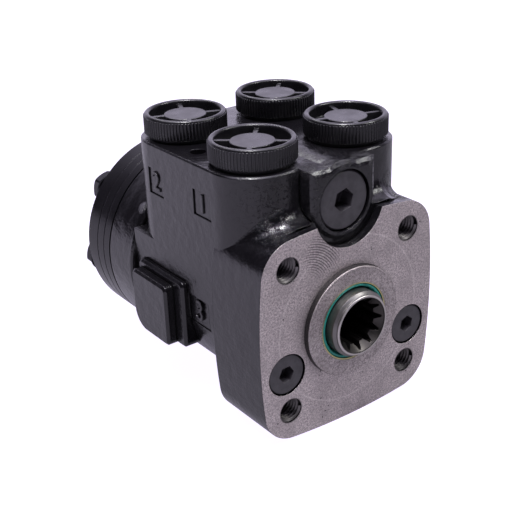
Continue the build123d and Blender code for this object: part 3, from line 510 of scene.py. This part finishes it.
black_oxide = oxide_finish("black_oxide_steel", (0.028, 0.026, 0.029), (0.048, 0.045, 0.050), 0.38)
washer_metal = steel_finish("soft_washer", (0.012, 0.012, 0.014), (0.025, 0.025, 0.028), 0.45, along=False)
dress(black_oxide, "relief_plug", "shock_plugs")
dress(satin_black, "pin_screw", "cover_screws")
dress(washer_metal, "screw_washers")

# ---- Transport caps ------------------------------------------------------------------------
# Each port is shut by a moulded black cap: a ribbed grip with a rounded rim, a deep well and
# a flat disc on four ribs. Its threaded shank screws into the port over a rubber gasket.
CAP_TURNS = {"front_left": 47.0, "front_right": 73.0, "rear_left": 67.0, "rear_right": 45.0}
GRIP_RIBS = 80
GRIP_R = 16.1
PORT_PITCH = 1.814


def plastic_finish():
    material, tree, shader = start_finish("moulded_polyethylene")
    place = object_place(tree)
    flow = grain(tree, place, 6, 3)
    mould = grain(tree, place, 0.35, 3, 0.6)
    feed(tree, tones(tree, flow, (0.0040, 0.0038, 0.0048), (0.0075, 0.0070, 0.0086)),
         shader.inputs["Base Color"])
    feed(tree, ramp(tree, flow, 0.3, 0.7, 0.24, 0.38), shader.inputs["Roughness"])
    feed(tree, relief(tree, mould, 0.012, soft_edge(tree, 0.2)), shader.inputs["Normal"])
    return material


def cap_shell(bm):
    """Turned shape of grip, rim, well and disc, spun round its own axis."""
    profile = [(0, 2.5), (8.6, 2.5), (8.6, -10), (9.3, -10), (9.3, 1.5), (15.9, 1.5), (16.1, 1.8),
               (16.1, 8.5)]
    profile += [(15.0 + 1.1 * math.cos(math.radians(a)), 8.45 + 1.05 * math.sin(math.radians(a)))
                for a in range(15, 180, 15)]
    profile += [(13.9, 8.3), (13.75, 4.8), (13.45, 4.5), (8.7, 4.5), (8.4, 4.75), (8.35, 7.8),
                (8.15, 8.0), (0, 8.0)]
    verts = [bm.verts.new((radius, 0, height)) for radius, height in profile]
    edges = [bm.edges.new(pair) for pair in zip(verts, verts[1:])]
    bmesh.ops.spin(bm, geom=verts + edges, cent=(0, 0, 0), axis=(0, 0, 1), angle=2 * math.pi, steps=96,
                   use_merge=True)
    bmesh.ops.remove_doubles(bm, verts=bm.verts, dist=0.001)


def grip_rib(bm, turn):
    """One rib of the grip, rounded along its crest and at its top."""
    pitch = 2 * math.pi / GRIP_RIBS
    half = 0.27 * pitch * GRIP_R
    section = [(16.0, -half), (16.33, -half * 0.75), (16.46, 0), (16.33, half * 0.75), (16.0, half)]
    low = [bm.verts.new((x, y, 1.7)) for x, y in section]
    face = bm.faces.new(low)
    made = bmesh.ops.extrude_face_region(bm, geom=[face])
    top = [v for v in made["geom"] if isinstance(v, bmesh.types.BMVert)]
    bmesh.ops.translate(bm, verts=top, vec=(0, 0, 6.7))
    for vert in top:
        vert.co.z += 0.25 * (16.46 - vert.co.x)
    fresh = low + top
    bmesh.ops.rotate(bm, verts=fresh, cent=(0, 0, 0), matrix=Matrix.Rotation(turn, 3, "Z"))


def cap_rib(bm, turn):
    """One of the four ribs that carry the disc."""
    made = bmesh.ops.create_cube(bm, size=1)["verts"]
    bmesh.ops.scale(bm, verts=made, vec=(6.0, 1.9, 3.5))
    bmesh.ops.translate(bm, verts=made, vec=(11.2, 0, 6.2))
    crest = [e for e in {e for v in made for e in v.link_edges} if all(v.co.z > 7 for v in e.verts)
             and abs(e.verts[0].co.y - e.verts[1].co.y) < 0.01]
    bevelled = bmesh.ops.bevel(bm, geom=crest, offset=0.2, affect="EDGES", segments=2, profile=0.5,
                               material=-1)
    fresh = {v for v in made if v.is_valid} | set(bevelled["verts"])
    bmesh.ops.rotate(bm, verts=list(fresh), cent=(0, 0, 0), matrix=Matrix.Rotation(turn, 3, "Z"))


moulded = plastic_finish()
for label, (port_x, port_y) in PORTS.items():
    cap = bmesh.new()
    cap_shell(cap)
    for k in range(4):
        cap_rib(cap, k * math.pi / 2)
    for k in range(GRIP_RIBS):
        grip_rib(cap, k * 2 * math.pi / GRIP_RIBS)
    bmesh.ops.recalc_face_normals(cap, faces=cap.faces)
    bmesh.ops.rotate(cap, verts=cap.verts, cent=(0, 0, 0),
                     matrix=Matrix.Rotation(math.radians(CAP_TURNS[label]), 3, "Z"))
    bmesh.ops.translate(cap, verts=cap.verts, vec=(port_x, port_y, PORT_FACE))
    shell = piece("cap_shell_" + label, cap, "cap_" + label, moulded)
    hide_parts("cap_" + label)
    screw = bmesh.new()
    helix_ridge(screw, [(9.25, 0), (10.15, 0.62), (10.15, 0.86), (9.25, 1.48)],
                (port_x, port_y, PORT_FACE - 9.4), (0, 0, 1), PORT_PITCH, 4.6, 40)
    piece("cap_thread_" + label, screw, "cap_" + label, moulded)
    dress(black_rubber, "gasket_" + label)

# ---- Studio --------------------------------------------------------------------------------
# White paper lies under the unit in a dim room. It looks evenly white, but the paper glows: the light it
# casts and shows in the gloss is a painted pool of light, brighter towards the left. A wide soft box hangs
# overhead and a small one stands at the right, and the gloss shows them too.
AIR_TINT = (1.08, 1.0, 1.28, 1)


def seen_straight(tree):
    """1 where the eye looks at a surface itself and not at its reflection."""
    return step(tree, "LightPath").outputs["Is Camera Ray"]


floor_bm = bmesh.new()
bmesh.ops.create_grid(floor_bm, x_segments=2, y_segments=2, size=4)
bmesh.ops.translate(floor_bm, verts=floor_bm.verts, vec=(0, 0, cad_box[0][2]))
floor_mesh = bpy.data.meshes.new("paper_floor")
floor_bm.to_mesh(floor_mesh)
floor_bm.free()
floor = bpy.data.objects.new("paper_floor", floor_mesh)
bpy.context.scene.collection.objects.link(floor)
paper, paper_tree, paper_shader = start_finish("white_paper")
paper_place = object_place(paper_tree)
paper_fibre = grain(paper_tree, paper_place, 20, 4)
# painted light: the paper's glow rises towards the left, seen only in reflections and in the light it casts
paper_side = step(paper_tree, "VectorMath", {0: paper_place, 1: (-1, 0.15, 0)}, operation="DOT_PRODUCT")
paper_light_pool = ramp(paper_tree, paper_side.outputs["Value"], -0.10, 0.28, 0.20, 0.62)
feed(paper_tree, tones(paper_tree, paper_fibre, (0.11, 0.11, 0.11), (0.12, 0.12, 0.12)),
     paper_shader.inputs["Base Color"])
feed(paper_tree, level(paper_tree, seen_straight(paper_tree), paper_light_pool, 0.98),
     paper_shader.inputs["Emission Strength"])
paper_shader.inputs["Emission Color"].default_value = AIR_TINT
paper_shader.inputs["Roughness"].default_value = 0.9
floor.data.materials.append(paper)

air = bpy.data.worlds.new("room_air")
air.use_nodes = True
air_tree = air.node_tree
air_glow = air_tree.nodes["Background"]
air_way = step(air_tree, "TexCoord").outputs["Generated"]
air_height = step(air_tree, "SeparateXYZ", {0: air_way}).outputs["Z"]
air_side = step(air_tree, "VectorMath", {0: air_way, 1: (0.66, 0.75, 0)}, operation="DOT_PRODUCT")
room = ramp(air_tree, air_side.outputs["Value"], 0.25, 0.95, 0.02, 1.15)
room = sums(air_tree, "ADD", room, ramp(air_tree, air_height, 0.74, 0.94, 0.0, 3.0))
feed(air_tree, level(air_tree, seen_straight(air_tree), room, 1.0), air_glow.inputs["Strength"])
air_glow.inputs["Color"].default_value = AIR_TINT
bpy.context.scene.world = air
bpy.context.scene.view_settings.view_transform = "Standard"


def soft_box(name, place, aim, size, power):
    data = bpy.data.lights.new(name, "AREA")
    data.shape = "RECTANGLE"
    data.size, data.size_y = size
    data.energy = power
    lamp = bpy.data.objects.new(name, data)
    lamp.location = place
    lamp.rotation_euler = (Vector(place) - Vector(aim)).to_track_quat("Z", "Y").to_euler()
    bpy.context.scene.collection.objects.link(lamp)


soft_box("right_box", (0.454, -0.389, 0.628), (-0.03, 0.0, 0.04), (0.34, 0.10), 3.0)
soft_box("back_box", (0.12, 0.70, 0.75), (0, 0.05, 0), (0.4, 0.10), 1.2)
soft_box("top_box", (-0.17, -0.10, 0.90), (0, 0.03, 0.05), (0.16, 0.16), 7.0)

# The camera looks down on the flange from the front left.
azimuth, rise, roll = math.radians(-35.872), math.radians(25.045), math.radians(-2.021)
back = Vector((math.sin(azimuth) * math.cos(rise), -math.cos(azimuth) * math.cos(rise), math.sin(rise)))
level_right = (-back).cross(Vector((0, 0, 1))).normalized()
level_up = level_right.cross(-back)
right = math.cos(roll) * level_right + math.sin(roll) * level_up
up = level_up * math.cos(roll) - level_right * math.sin(roll)
camera_data = bpy.data.cameras.new("camera")
camera_data.sensor_width = 36
camera_data.lens = 69.37
camera = bpy.data.objects.new("camera", camera_data)
camera.matrix_world = (Matrix.Translation(Vector((-223.03, -251.58, 182.22)) * MM)
                       @ Matrix((right, up, back)).transposed().to_4x4())
bpy.context.scene.collection.objects.link(camera)
bpy.context.scene.camera = camera
